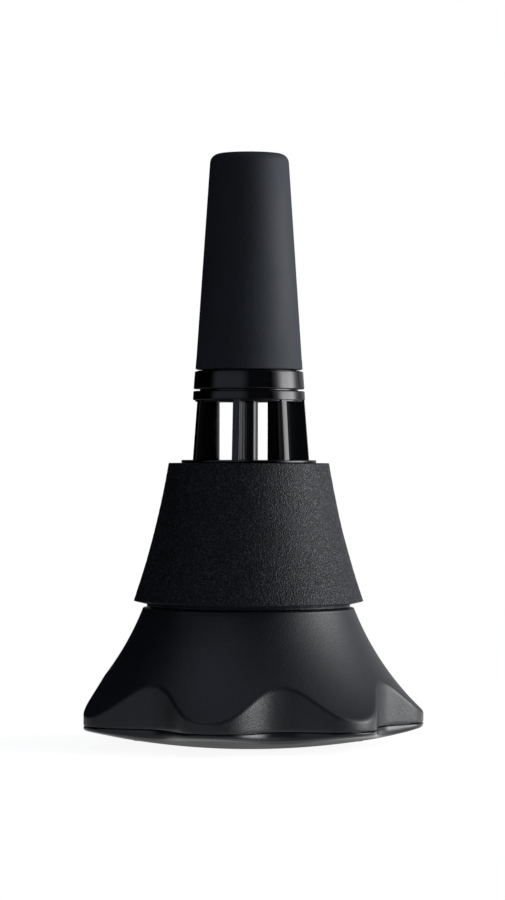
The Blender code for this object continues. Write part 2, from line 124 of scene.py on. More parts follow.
def blendColour(tree, share, first, second):
    made = addNode(tree, "ShaderNodeMix", data_type="RGBA")
    for socket, value in (("Factor_Float", share), ("A_Color", first), ("B_Color", second)):
        target = next(item for item in made.inputs if item.identifier == socket)
        if isinstance(value, bpy.types.NodeSocket):
            tree.links.new(value, target)
        else:
            target.default_value = value
    return next(item for item in made.outputs if item.identifier == "Result_Color")


def newGroup(name, inputs, outputs):
    tree = bpy.data.node_groups.new(name, "ShaderNodeTree")
    for label, value in inputs.items():
        socket = tree.interface.new_socket(label, in_out="INPUT", socket_type="NodeSocketFloat")
        socket.default_value = value
    for label in outputs:
        tree.interface.new_socket(label, in_out="OUTPUT", socket_type="NodeSocketFloat")
    return tree, tree.nodes.new("NodeGroupInput").outputs, tree.nodes.new("NodeGroupOutput")


def objectPlace(tree):
    return addNode(tree, "ShaderNodeTexCoord").outputs["Object"]


def facingUp(tree):
    # From -1 on what faces straight down to 1 on what faces straight up.
    normal = addNode(tree, "ShaderNodeNewGeometry").outputs["Normal"]
    return addNode(tree, "ShaderNodeSeparateXYZ", {"Vector": normal}).outputs["Z"]


# Effects that several finishes share

def grainGroup():
    tree, given, result = newGroup("mouldGrain", {"Size": 0.0003, "Crispness": 0.6},
                                   ("Height", "Cloud"))
    place = objectPlace(tree)
    scale = calc(tree, "DIVIDE", 1.0, given["Size"])
    fine = noiseOf(tree, place, scale, 3.0, given["Crispness"])
    cloud = noiseOf(tree, place, times(tree, scale, 0.03), 4.0, 0.55)
    plug(tree, result, {"Height": fine["Fac"], "Cloud": ease(tree, cloud["Fac"], 0.32, 0.68)})
    return tree


def dustGroup():
    # Fine lint, a little more of it on what faces up.
    tree, given, result = newGroup("settledDust", {"Size": 0.0012, "Amount": 0.3, "Lying": 0.6},
                                   ("Mask",))
    place = objectPlace(tree)
    scale = calc(tree, "DIVIDE", 1.0, given["Size"])
    specks = addNode(tree, "ShaderNodeTexVoronoi", {"Vector": place, "Scale": scale})
    chance = addNode(tree, "ShaderNodeSeparateColor", {"Color": specks.outputs["Color"]})
    spot = ease(tree, specks.outputs["Distance"], 0.16, 0.06)
    kept = ease(tree, chance.outputs[0], 0.80, 0.84)
    lying = ease(tree, facingUp(tree), 0.1, 0.95)
    film = times(tree, lying, given["Lying"])
    total = plus(tree, times(tree, spot, kept), times(tree, film, 0.35))
    plug(tree, result, {"Mask": times(tree, total, given["Amount"], True)})
    return tree


def wearGroup():
    # Edges that hands and the case rub smooth.
    tree, given, result = newGroup("rubbedEdges", {"Reach": 0.05, "Patchiness": 0.5,
                                                   "Patch Size": 0.003}, ("Mask",))
    shape = addNode(tree, "ShaderNodeNewGeometry").outputs["Pointiness"]
    start = plus(tree, 0.5, times(tree, given["Reach"], 0.2))
    end = plus(tree, 0.5, given["Reach"])
    edge = ease(tree, shape, start, end)
    place = objectPlace(tree)
    scale = calc(tree, "DIVIDE", 1.0, given["Patch Size"])
    broken = ease(tree, noiseOf(tree, place, scale, 5.0, 0.65)["Fac"], 0.38, 0.62)
    lost = times(tree, given["Patchiness"], calc(tree, "SUBTRACT", 1.0, broken))
    kept = calc(tree, "SUBTRACT", 1.0, lost)
    plug(tree, result, {"Mask": times(tree, edge, kept, True)})
    return tree


def smearGroup():
    # Finger smears and wipe marks, drawn out round the axis.
    tree, given, result = newGroup("handlingSmears", {"Size": 0.012, "Stretch": 2.5},
                                   ("Mask", "Ripple"))
    place = objectPlace(tree)
    squeeze = addNode(tree, "ShaderNodeCombineXYZ", {
        "X": 1.0, "Y": 1.0, "Z": given["Stretch"]})
    drawn = vectorMath(tree, "MULTIPLY", place, squeeze.outputs[0])[0]
    scale = calc(tree, "DIVIDE", 1.0, given["Size"])
    smear = noiseOf(tree, drawn, scale, 2.0, 0.5, 0.6)
    ripple = noiseOf(tree, place, times(tree, scale, 0.8), 1.0)
    plug(tree, result, {"Mask": ease(tree, smear["Fac"], 0.40, 0.66), "Ripple": ripple["Fac"]})
    return tree


def cellGroup():
    # Closed foam cells: pits painted dark as painted shade, between cell walls and random flecks
    # painted pale as painted highlights.
    tree, given, result = newGroup("foamCells", {"Cell": 0.0004, "GlintFlecks": 0.5},
                                   ("Height", "WallsAndGlints", "Cloud"))
    place = objectPlace(tree)
    scale = calc(tree, "DIVIDE", 1.0, given["Cell"])
    warp = noiseOf(tree, place, times(tree, scale, 0.7), 2.0)
    moved = vectorMath(tree, "MULTIPLY", warp["Color"], (0.0004, 0.0004, 0.0004))[0]
    at = vectorMath(tree, "ADD", place, moved)[0]
    cells = addNode(tree, "ShaderNodeTexVoronoi", {"Vector": at, "Scale": scale})
    small = addNode(tree, "ShaderNodeTexVoronoi", {
        "Vector": at, "Scale": times(tree, scale, 2.3)})
    sparkle = addNode(tree, "ShaderNodeSeparateColor", {"Color": small.outputs["Color"]})
    wall = ease(tree, cells.outputs["Distance"], 0.25, 0.75)
    # random flecks on the walls: painted glints
    glintFlecks = times(tree, ease(tree, sparkle.outputs[0], 0.55, 0.95), given["GlintFlecks"])
    height = plus(tree, times(tree, wall, 0.6), times(tree, small.outputs["Distance"], 0.5))
    cloud = noiseOf(tree, place, times(tree, scale, 0.08), 3.0)
    plug(tree, result, {"Height": height, "WallsAndGlints": plus(tree, times(tree, wall, 0.5), glintFlecks, True),
                        "Cloud": ease(tree, cloud["Fac"], 0.3, 0.7)})
    return tree


effects = {
    "grain": grainGroup(),
    "dust": dustGroup(),
    "wear": wearGroup(),
    "smears": smearGroup(),
    "cells": cellGroup(),
}


def startFinish(name, look):
    # A material with each of the shared effects that its look has values for.
    material = bpy.data.materials.new(name)
    material.use_nodes = True
    tree = material.node_tree
    used = {key: addNode(tree, "ShaderNodeGroup", look[key], node_tree=group).outputs
            for key, group in effects.items() if key in look}
    return material, tree, tree.nodes["Principled BSDF"], used


def relief(tree, shader, height, depth):
    bump = addNode(tree, "ShaderNodeBump", {"Height": height, "Strength": 1.0, "Distance": depth})
    plug(tree, shader, {"Normal": bump.outputs["Normal"]})


def shade(colour, gain=1.0):
    return (*(channel * gain for channel in colour), 1.0)


def layColours(tree, shader, look, used, cloud):
    # The base colour is cloudy and paler where it is rubbed, and dust lies on top.
    dull, bright, rubbed = look["tones"]
    total = blendColour(tree, cloud, shade(look["colour"], dull), shade(look["colour"], bright))
    total = blendColour(tree, used["wear"]["Mask"], total, shade(look["colour"], rubbed))
    if "dust" in used:
        total = blendColour(tree, used["dust"]["Mask"], total, shade(look["dustColour"]))
    plug(tree, shader, {"Base Color": total})


def polishEdges(tree, shader, look, used, mask):
    rough = ease(tree, mask, 0.0, 1.0, *look["rough"])
    polish = times(tree, used["wear"]["Mask"], look["polish"])
    plug(tree, shader, {"Roughness": calc(tree, "SUBTRACT", rough, polish), "IOR": look["ior"]})


capLook = {
    "colour": (0.0225, 0.0268, 0.0340),
    "tones": (0.88, 1.12, 1.5),  # dull and bright clouds, rubbed edges
    "rough": (0.63, 0.71),
    "polish": 0.12,
    "ior": 1.40,
    "grain": {"Size": 0.00060, "Crispness": 0.65},
    "depth": 0.000060,
    "dust": {"Size": 0.0016, "Amount": 0.25, "Lying": 0.5},
    "dustColour": (0.12, 0.12, 0.12),
    "wear": {"Reach": 0.06, "Patchiness": 0.6, "Patch Size": 0.004},
}
sealLook = {
    **capLook,
    "colour": (0.013, 0.013, 0.014),
    "rough": (0.67, 0.75),
    "grain": {"Size": 0.00030, "Crispness": 0.65},
    "depth": 0.00002,
    "dust": {"Size": 0.0016, "Amount": 0.1, "Lying": 0.5},
}


def softRubber(name, look):
    # Soft-touch skin: matte, slightly cloudy, with a little lint on it.
    material, tree, shader, used = startFinish(name, look)
    layColours(tree, shader, look, used, used["grain"]["Cloud"])
    polishEdges(tree, shader, look, used, used["grain"]["Cloud"])
    relief(tree, shader, used["grain"]["Height"], look["depth"])
    return material


glossLook = {
    "colour": (0.0008, 0.0009, 0.0012),
    "tones": (1.0, 1.3, 2.0),
    "rough": 0.08,
    "smearRough": 0.05,
    "dustRough": 0.4,
    "ripple": 0.00001,
    "smears": {"Size": 0.009, "Stretch": 2.0},
    "dust": {"Size": 0.0014, "Amount": 0.10, "Lying": 0.30},
    "dustColour": (0.10, 0.10, 0.10),
    "wear": {"Reach": 0.05, "Patchiness": 0.7, "Patch Size": 0.002},
}


def polishedBlack(name, look):
    # Polished moulding: clean reflections, faint flow ripple, smears and dust.
    material, tree, shader, used = startFinish(name, look)
    layColours(tree, shader, look, used, used["smears"]["Mask"])
    smeared = times(tree, used["smears"]["Mask"], look["smearRough"])
    dusty = times(tree, used["dust"]["Mask"], look["dustRough"])
    plug(tree, shader, {"Roughness": plus(tree, plus(tree, look["rough"], smeared), dusty)})
    relief(tree, shader, used["smears"]["Ripple"], look["ripple"])
    return material


foamLook = {
    # The pits get the dark colour as painted shade, the walls and flecks the pale one as painted
    # highlights.
    "darkAndPitShade": (0.0004, 0.0005, 0.0006),
    "paleGlint": (0.0720, 0.0790, 0.0950),
    "paleness": 3.0,  # higher keeps the painted highlight to the middle of the cell walls
    "cloudGain": 1.4,
    "speckle": 0.75,
    # The skin colour is paler than the foam: painted light from the floor below.
    "skin": (0.0380, 0.0425, 0.0520),
    "skinAndUnderLightFrom": (-0.30, -0.75),  # the sloping end is cut hot, so it has a skin; it faces down and is painted paler as painted light from below
    "rough": (0.43, 0.29),
    "skinRough": 0.32,
    "ior": 1.34,
    "cells": {"Cell": 0.00050, "GlintFlecks": 0.7},
    "depth": 0.00013,
    "dust": {"Size": 0.0020, "Amount": 0.18, "Lying": 0.4},
    "dustColour": (0.10, 0.10, 0.10),
}


def closedFoam(name, look):
    # Dark cells with painted shade in their pits, painted highlights on the walls and flecks, and a
    # sealed skin on the sloping end that is painted paler as painted light from below.
    material, tree, shader, used = startFinish(name, look)
    cells = used["cells"]
    # Faces turned down get the skin's roughness and its paler colour, which is painted light from
    # below.
    skinAndUnderLight = ease(tree, facingUp(tree), *look["skinAndUnderLightFrom"])
    # Pale where the cells stand high, dark in the low pits: painted highlights and painted shade.
    paleGlint = calc(tree, "POWER", cells["WallsAndGlints"], look["paleness"])
    paintedShadeAndGlints = blendColour(tree, paleGlint, shade(look["darkAndPitShade"]), shade(look["paleGlint"]))
    cloudDark = shade(look["darkAndPitShade"], look["cloudGain"])
    cloudy = blendColour(tree, cells["Cloud"], paintedShadeAndGlints, cloudDark)
    mixed = blendColour(tree, look["speckle"], cloudy, paintedShadeAndGlints)
    withPaintedUnderLight = blendColour(tree, skinAndUnderLight, mixed, shade(look["skin"]))
    dusted = blendColour(tree, used["dust"]["Mask"], withPaintedUnderLight, shade(look["dustColour"]))
    rough = ease(tree, cells["WallsAndGlints"], 0.0, 1.0, *look["rough"])
    rough = ease(tree, skinAndUnderLight, 0.0, 1.0, rough, look["skinRough"])
    plug(tree, shader, {"Base Color": dusted, "Roughness": rough, "IOR": look["ior"]})
    relief(tree, shader, cells["Height"], look["depth"])
    return material


shellLook = {
    "colour": (0.0125, 0.0145, 0.0180),
    "tones": (0.93, 1.07, 1.7),
    "rough": (0.33, 0.30),
    "polish": 0.03,
    "ior": 1.54,
    "grain": {"Size": 0.00055, "Crispness": 0.75},
    "depth": 0.000075,
    "smears": {"Size": 0.016, "Stretch": 1.4},
    "dust": {"Size": 0.0018, "Amount": 0.20, "Lying": 0.5},
    "dustColour": (0.11, 0.11, 0.11),
    "wear": {"Reach": 0.05, "Patchiness": 0.5, "Patch Size": 0.003},
}
plateLook = {**shellLook, "rough": (0.20, 0.17), "depth": 0.000012}


def erodedPlastic(name, look):
    # Spark-eroded moulding: even fine grain, worn a little smoother on its edges.
    material, tree, shader, used = startFinish(name, look)
    layColours(tree, shader, look, used, used["grain"]["Cloud"])
    polishEdges(tree, shader, look, used, used["smears"]["Mask"])
    relief(tree, shader, used["grain"]["Height"], look["depth"])
    return material


steelLook = {
    "colour": (0.30, 0.30, 0.31),
    "tones": (0.8, 1.1, 1.7),
    "rough": (0.24, 0.42),
    "grain": {"Size": 0.00012, "Crispness": 0.6},
    "depth": 0.000006,
    "smears": {"Size": 0.0016, "Stretch": 6.0},
    "wear": {"Reach": 0.08, "Patchiness": 0.3, "Patch Size": 0.001},
}


def platedSteel(name, look):
    # Zinc-plated screw steel: turned marks and a cloudy passivation.
    material, tree, shader, used = startFinish(name, look)
    layColours(tree, shader, look, used, used["smears"]["Mask"])
    rough = ease(tree, used["smears"]["Mask"], 0.0, 1.0, *look["rough"])
    plug(tree, shader, {"Metallic": 1.0, "Roughness": rough})
    relief(tree, shader, used["grain"]["Height"], look["depth"])
    return material


finishes = {
    "cap_rubber": softRubber("capRubber", capLook),
    "seal_rubber": softRubber("sealRubber", sealLook),
    "gloss_black": polishedBlack("glossBlack", glossLook),
    "foam": closedFoam("foam", foamLook),
    "shell_plastic": erodedPlastic("shellPlastic", shellLook),
    "plate_plastic": erodedPlastic("platePlastic", plateLook),
    "screw_steel": platedSteel("screwSteel", steelLook),
}
print("finishes ready:", ", ".join(finishes))


# Small helpers for shapes

sharpFrom = radians(38)  # edges that turn by more than this stay sharp
foamSharpFrom = radians(60)
crispEdge = 0.0001  # fillets of the small moulded edges
fineEdge = 0.0002
softEdge = 0.0003
fullEdge = 0.0004
through = 0.002  # how far a cutter reaches past what it cuts


def roundOff(corners, loop=True, bend=6):
    # Corners are (radius, height, fillet). A fillet is an arc over less than half of each side.
    outline = []
    count = len(corners)
    for index, (radius, height, fillet) in enumerate(corners):
        here = Vector((radius, height))
        if fillet <= 0 or (not loop and index in (0, count - 1)):
            outline.append(here)
            continue
        back = Vector(corners[index - 1][:2]) - here
        ahead = Vector(corners[(index + 1) % count][:2]) - here
        half = back.angle(ahead) / 2
        cut = min(fillet / tan(half), 0.49 * back.length, 0.49 * ahead.length)
        size = cut * tan(half)
        middle = here + (back.normalized() + ahead.normalized()).normalized() * size / sin(half)
        start = here + back.normalized() * cut - middle
        end = here + ahead.normalized() * cut - middle
        sweep = start.angle(end)
        for step in range(bend + 1):
            share = step / bend
            turned = (start * sin((1 - share) * sweep) + end * sin(share * sweep)) / sin(sweep)
            outline.append(middle + turned)
    return outline


def fillIn(outline, longest, loop=True):
    # Puts points along the long runs, so that the shading stays even beside a small fillet.
    finer = []
    ends = outline[1:] + outline[:1] if loop else outline[1:]
    for here, after in zip(outline, ends):
        run = (after - here).length
        pieces = max(1, round(run / longest))
        finer += [here.lerp(after, step / pieces) for step in range(pieces)]
    if not loop:
        finer.append(outline[-1])
    return finer


def meshObject(name, form, smoothUnder=sharpFrom):
    mesh = bpy.data.meshes.new(name)
    form.to_mesh(mesh)
    form.free()
    mesh.shade_smooth()
    mesh.set_sharp_from_angle(angle=smoothUnder)
    piece = bpy.data.objects.new(name, mesh)
    bpy.context.scene.collection.objects.link(piece)
    return piece


def skin(name, rings, loop, smoothUnder=sharpFrom):
    # Skins rings of points, down the outside and, in a loop, back up the inside.
    form = bmesh.new()
    rows = [[form.verts.new(point) for point in ring] for ring in rings]
    pairs = list(zip(rows, rows[1:]))
    if loop:
        pairs.append((rows[-1], rows[0]))
    for upper, lower in pairs:
        count = max(len(upper), len(lower))
        for index in range(count):
            after = (index + 1) % count
            if len(upper) == 1:
                form.faces.new((upper[0], lower[index], lower[after]))
            elif len(lower) == 1:
                form.faces.new((upper[index], lower[0], upper[after]))
            else:
                form.faces.new((upper[index], lower[index], lower[after], upper[after]))
    return meshObject(name, form, smoothUnder)


def steady(radius):
    return lambda angle: radius


def aroundAt(columns, outline, height):
    # A ring from a radius that depends on the angle. Height may depend on it too.
    points = []
    for index in range(columns):
        angle = 2 * pi * index / columns
        radius = outline(angle)
        level = height(angle) if callable(height) else height
        points.append((radius * cos(angle), radius * sin(angle), level))
    return points


def ringAt(radius, height, steps):
    return [(0.0, 0.0, height)] if radius < 1e-7 else aroundAt(steps, steady(radius), height)


def levels(start, finish, count):
    return [start + (finish - start) * index / count for index in range(count + 1)]


def cappedRows(form, rows):
    # Joins closed rows of points and caps both ends.
    made = [[form.verts.new(point) for point in row] for row in rows]
    for here, after in zip(made, made[1:]):
        for index in range(len(here)):
            other = (index + 1) % len(here)
            form.faces.new((here[index], here[other], after[other], after[index]))
    form.faces.new(made[0][::-1])
    form.faces.new(made[-1])


def turned(name, outline, steps, loop=True):
    return skin(name, [ringAt(point.x, point.y, steps) for point in outline], loop)


def combine(piece, tool, operation):
    step = piece.modifiers.new(operation.lower(), "BOOLEAN")
    step.operation = operation
    step.solver = "MANIFOLD"
    step.object = tool
    shaped = bpy.data.meshes.new_from_object(
        piece.evaluated_get(bpy.context.evaluated_depsgraph_get()))
    piece.modifiers.clear()
    old = piece.data
    piece.data = shaped
    bpy.data.meshes.remove(old)
    bpy.data.objects.remove(tool)
    piece.data.set_sharp_from_angle(angle=sharpFrom)


def rods(name, places, radius, low, high, sides=32):
    form = bmesh.new()
    for x, y in places:
        made = bmesh.ops.create_cone(form, cap_ends=True, segments=sides, radius1=radius,
                                     radius2=radius, depth=high - low)
        bmesh.ops.translate(form, verts=made["verts"], vec=(x, y, (low + high) / 2))
    return meshObject(name, form)


def roundPlaces(count, circle, turn=0.0):
    angles = [turn + 2 * pi * index / count for index in range(count)]
    return [(circle * cos(angle), circle * sin(angle)) for angle in angles]


def portRods(name, port, low, high, sides=32):
    # Cutters for a ring of holes, one between each two lobes.
    size, circle = port
    places = roundPlaces(lobes, circle, pi / lobes)
    return rods(name, places, size, low - through, high + through, sides)


def dress(piece, slot):
    piece.data.materials.clear()
    piece.data.materials.append(finishes[slot])


def give(piece, body, slot, *nodes):
    dress(piece, slot)
    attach(piece, body)
    if nodes:
        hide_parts(*nodes)


lobes = 7
body = "mute_body"
gap = 0.0003  # between neighbouring pieces

tip = {
    "topRadius": 0.01163,
    "wall": 0.0018,
    "corner": 0.0029,
    "crown": 0.0004,  # the top is this much higher in the middle
    "crownShares": (0, 0.16, 0.32, 0.48),
    "shoulder": 0.0002,
    "edge": 0.00045,
    "lipHeight": 0.0026,  # slightly fuller band at the foot of the cap
    "lipRise": 0.00005,
    "lipRun": 0.0006,
    "boreCorner": 0.0008,
    "run": 0.0012,  # longest step between the points of the outline
    "steps": 160,
}


def capRadius(height):
    low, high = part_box("tip_cap")
    share = (height - low.z) / (high.z - low.z)
    return high.x + (tip["topRadius"] - high.x) * share


def makeCap():
    low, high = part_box("tip_cap")
    rim = high.z - tip["crown"]
    shoulder = capRadius(high.z) + tip["shoulder"]
    lipTop = low.z + tip["lipHeight"]
    lipStart = lipTop + tip["lipRun"]
    boreTop = rim - tip["wall"]
    corners = [
        *((shoulder * share, high.z - tip["crown"] * share ** 2, 0)
          for share in tip["crownShares"]),
        (capRadius(rim), rim, tip["corner"]),
        (capRadius(lipStart), lipStart, 2 * tip["lipRun"]),
        (capRadius(lipTop) + tip["lipRise"], lipTop, tip["lipRun"]),
        (high.x + tip["lipRise"], low.z, tip["edge"]),
        (high.x - tip["wall"], low.z, fineEdge),
        (capRadius(boreTop) - tip["wall"], boreTop, tip["boreCorner"]),
        (0, boreTop, 0),
    ]
    outline = fillIn(roundOff(corners, False, 8), tip["run"], False)
    give(turned("tip_skin", outline, tip["steps"], False), "tip", "cap_rubber", "tip_cap")


core = {
    "seat": 0.0153,
    "collarTopRadius": 0.0162,
    "collarRise": 0.0003,  # the polished ring stands a little proud of its solid
    "groove": 0.0005,  # dark line between the cap and the gloss ring
    "collarHeight": 0.0053,
    "collarEdge": 0.00035,
    "collarRoof": 0.0012,
    "topCorner": 0.0005,
    "spigot": 0.0147,
    "sleeve": 0.0129,
    "sleeveWall": 0.0013,
    "wall": 0.0015,
    "boreEase": 0.001,
    "boreCorner": 0.0006,
    "lugRise": 0.0014,
    "lugHeight": 0.0010,
    "lugAngle": radians(12),
    "lugs": 3,
    "run": 0.0014,
    "steps": 160,
}


def arcBlocks(name, inner, outer, low, high, start, sweep, count, steps=10):
    # Blocks bent round the axis, such as the lugs of the twist lock.
    form = bmesh.new()
    corners = ((inner, low), (outer, low), (outer, high), (inner, high))
    for copy in range(count):
        first = start + 2 * pi * copy / count
        cappedRows(form, [[(radius * cos(angle), radius * sin(angle), height)
                           for radius, height in corners]
                          for angle in levels(first, first + sweep, steps)])
    bmesh.ops.recalc_face_normals(form, faces=form.faces)
    return meshObject(name, form)


def makeCore():
    low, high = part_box("tip_core")
    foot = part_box("tip_cap")[0].z
    collarTop = foot - core["groove"]
    collarFoot = collarTop - core["collarHeight"]
    skinDepth = tip["wall"] + gap
    topRadius = capRadius(high.z) - skinDepth
    edge = core["collarEdge"]
    ceiling = collarTop - core["collarRoof"]
    inner = core["sleeve"] - core["sleeveWall"]
    corners = [
        (0, high.z, 0),
        (topRadius, high.z, core["topCorner"]),
        (capRadius(foot) - skinDepth, foot - gap, 0),
        (core["seat"], foot - gap, crispEdge),
        (core["seat"], collarTop, crispEdge),
        (core["collarTopRadius"], collarTop, edge),
        (high.x + core["collarRise"], collarFoot, edge * 0.8),
        (core["spigot"] + gap, collarFoot, fineEdge),
        (core["spigot"] + gap, ceiling, fineEdge),
        (core["sleeve"], ceiling, softEdge),
        (core["sleeve"], low.z, fineEdge),
        (inner, low.z, fineEdge),
        (inner, collarTop, core["boreEase"]),
        (topRadius - core["wall"], high.z - core["wall"], core["boreCorner"]),
        (0, high.z - core["wall"], 0),
    ]
    outline = fillIn(roundOff(corners, False), core["run"], False)
    piece = turned("core_collar", outline, core["steps"], False)
    lugFoot = collarFoot + 2 * gap
    lugsForm = arcBlocks("lugs", core["sleeve"] - core["sleeveWall"] / 2,
                         core["sleeve"] + core["lugRise"], lugFoot, lugFoot + core["lugHeight"],
                         -core["lugAngle"] / 2, core["lugAngle"], core["lugs"])
    combine(piece, lugsForm, "UNION")
    give(piece, "tip", "gloss_black", "tip_core")


cage = {
    "headHeight": 0.0027,
    "headTopRadius": 0.01665,
    "headRadius": 0.0168,
    "headEdge": 0.00035,
    "headFootEdge": 0.00022,
    "headPlate": 0.0015,
    "stepIn": 0.0007,  # the plate lies a little below the ring's lower edge
    "stepDrop": 0.0005,
    "spigot": 0.0147,
    "spigotWall": 0.0015,
    "finWidth": 0.0022,
    "finInner": 0.0102,
    "finBase": 0.0181,
    "finInset": 0.00020,  # fins stop just inside the ring above them
    "finEdge": 0.00028,
    "finRoot": 0.0006,
    "finLevels": 12,
    "flangeHeight": 0.0009,
    "flangeRadius": 0.0202,
    "floorPlate": 0.0024,
    "floorWall": 0.0018,
    "coneWall": 0.0018,
    "tubeHole": 0.0030,
    "grommetHole": 0.0047,
    "headPort": (0.0016, 0.0088),  # radius of each hole and of their circle
    "floorPort": (0.0020, 0.0085),
    "slotClear": 0.0006,
    "slotHeight": 0.0016,
    "twist": radians(40),
    "slotSide": radians(8),
    "run": 0.0012,
    "steps": 168,
}


def finForm():
    # One fin for each lobe, with softened upright edges.
    form = bmesh.new()
    headFoot, floorTop = cageLevels()[1:3]
    edge = cage["finEdge"]
    side = cage["finWidth"] / 2 - edge
    inner = cage["finInner"] + edge
    rows = []
    for level in range(cage["finLevels"] + 1):
        share = level / cage["finLevels"]
        height = floorTop - cage["finRoot"] + (headFoot - floorTop + 1.5 * cage["finRoot"]) * share
        outer = cage["finBase"] + (cage["headRadius"] - cage["finInset"] - cage["finBase"]) * share
        outer -= edge
        row = []
        for x, y, first in ((outer, side, 0), (inner, side, 90), (inner, -side, 180),
                            (outer, -side, 270)):
            for step in range(5):
                angle = radians(first + 22.5 * step)
                row.append((x + edge * cos(angle), y + edge * sin(angle), height))
        rows.append(row)
    for copy in range(lobes):
        turn = 2 * pi * copy / lobes
        cappedRows(form, [[(x * cos(turn) - y * sin(turn), x * sin(turn) + y * cos(turn), z)
                           for x, y, z in row] for row in rows])
    return meshObject("fins", form)


def cageLevels():
    # Tops and foots of the head ring, and top of the floor flange.
    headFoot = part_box("tip_core")[0].z - gap - cage["headPlate"]
    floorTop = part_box("foam_sleeve")[1].z + cage["flangeHeight"]
    return headFoot + cage["headHeight"], headFoot, floorTop


def makeCage():
    low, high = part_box("cage")
    headTop, headFoot, floorTop = cageLevels()
    bore = cage["spigot"] - cage["spigotWall"]
    hole = cage["grommetHole"]
    plateTop = headFoot + cage["headPlate"]
    plateFoot = headFoot - cage["stepDrop"]
    stepIn = cage["headRadius"] - cage["stepIn"]
    head = [
        (cage["spigot"], high.z, softEdge), (cage["spigot"], headTop, fineEdge),
        (cage["headTopRadius"], headTop, cage["headEdge"]),
        (cage["headRadius"], headFoot, cage["headFootEdge"]),
        (stepIn, headFoot, crispEdge), (stepIn, plateFoot, fineEdge),
        (hole, plateFoot, fineEdge), (hole, plateTop, fineEdge),
        (bore, plateTop, softEdge), (bore, high.z, softEdge),
    ]
    piece = turned("air_cage", fillIn(roundOff(head), cage["run"]), cage["steps"])
    flangeFoot = floorTop - cage["flangeHeight"]
    coneInset = foam["wall"] + gap + cage["coneWall"] + gap
    plug = flareRadius(foamFlare(), flangeFoot, coneInset)
    well = plug - cage["floorWall"]
    floorFoot = floorTop - cage["floorPlate"]
    floor = [
        (cage["flangeRadius"], floorTop, softEdge), (cage["flangeRadius"], flangeFoot, softEdge),
        (plug, flangeFoot, fineEdge), (plug, low.z, fullEdge), (well, low.z, softEdge),
        (well, floorFoot, fullEdge), (cage["tubeHole"], floorFoot, fineEdge),
        (cage["tubeHole"], floorTop, softEdge),
    ]
    combine(piece, finForm(), "UNION")
    combine(piece, turned("floor", fillIn(roundOff(floor), cage["run"]), cage["steps"]), "UNION")
    combine(piece, portRods("ports", cage["headPort"], headFoot, plateTop), "DIFFERENCE")
    combine(piece, portRods("ports", cage["floorPort"], floorFoot, floorTop), "DIFFERENCE")
    slotFoot = headTop + cage["slotClear"] + gap
    inner, outer = bore - through / 4, cage["spigot"] + through / 4
    side = cage["slotSide"]
    combine(piece, arcBlocks("run", inner, outer, slotFoot, slotFoot + cage["slotHeight"],
                             -side, cage["twist"] + 2 * side, core["lugs"]), "DIFFERENCE")
    combine(piece, arcBlocks("entry", inner, outer, slotFoot + core["lugHeight"], high.z + through,
                             cage["twist"] - side, 2 * side, core["lugs"]), "DIFFERENCE")
    give(piece, body, "gloss_black", "cage")


def sleeveOutline(node, bore, edges, run):
    # The outline of a plain ring or tube that fills the box of its node.
    low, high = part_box(node)
    corners = ((high.x, high.z), (high.x, low.z), (bore, low.z), (bore, high.z))
    return fillIn(roundOff([(*corner, edge) for corner, edge in zip(corners, edges)]), run)


tube = {"wall": 0.00075, "run": 0.002, "steps": 64}


def makeTube():
    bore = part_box("outlet_tube")[1].x - tube["wall"]
    edges = (softEdge, softEdge, fineEdge, fineEdge)
    outline = sleeveOutline("outlet_tube", bore, edges, tube["run"])
    give(turned("air_tube", outline, tube["steps"]), body, "gloss_black", "outlet_tube")


foam = {
    "arc": 0.2425,
    "topRadius": 0.02405,
    "wall": 0.0040,
    "undercut": 0.0015,
    "clear": 0.0006,  # keeps the groove under the foam open
    "edge": 0.00045,
    "sway": 0.00007,  # how far the cut foam wanders from its true curve
    "pit": 0.00006,
    "seed": 7.0,
    "outerLevels": 24,
    "innerLevels": 12,
    "run": 0.0007,
    "columns": 400,
}


def flareThrough(top, foot, arc):
    # Centre of the arc of a hollow flare through its top and foot.
    run = Vector(foot) - Vector(top)
    reach = sqrt(arc ** 2 - (run.length / 2) ** 2)
    middle = (Vector(top) + Vector(foot)) / 2
    return middle.x - run.y / run.length * reach, middle.y + run.x / run.length * reach, arc


def flareRadius(flare, height, inset=0.0):
    across, middle, arc = flare
    return across - sqrt((arc + inset) ** 2 - (middle - height) ** 2)


def foamFlare():
    low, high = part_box("foam_sleeve")
    foot = low.z + foam["undercut"]
    return flareThrough((foam["topRadius"], high.z), (high.x, foot), foam["arc"])


def roughFoam(name, outline, look):
    # Pushes the points of a turned form in and out a little, as cut foam has it.
    moved = []
    for point in outline:
        row = []
        for x, y, z in ringAt(point.x, point.y, look["columns"]):
            spot = Vector((x, y, z))
            slow = noise.noise(spot * 90 + Vector((look["seed"], 0, 0)))
            quick = noise.noise(spot * 1100 + Vector((0, look["seed"], 0)))
            push = look["sway"] * slow + look["pit"] * quick - look["pit"] * 0.6
            out = hypot(x, y)
            row.append((x * (1 + push / out), y * (1 + push / out), z + 0.4 * look["pit"] * quick))
        moved.append(row)
    return skin(name, moved, True, foamSharpFrom)


def makeFoam():
    low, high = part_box("foam_sleeve")
    flare = foamFlare()
    foot = low.z + foam["undercut"]
    edge = foam["edge"]
    outer = [(flareRadius(flare, height), height, 0)
             for height in levels(high.z - edge, foot + edge, foam["outerLevels"])]
    inner = [(flareRadius(flare, height, foam["wall"]), height, 0)
             for height in levels(low.z + foam["clear"], high.z, foam["innerLevels"])]
    corners = [(flareRadius(flare, high.z), high.z, edge), *outer,
               (flareRadius(flare, foot), foot, edge), *inner]
    piece = roughFoam("foam_cone", fillIn(roundOff(corners, True, 5), foam["run"]), foam)
    give(piece, body, "foam", "foam_sleeve")


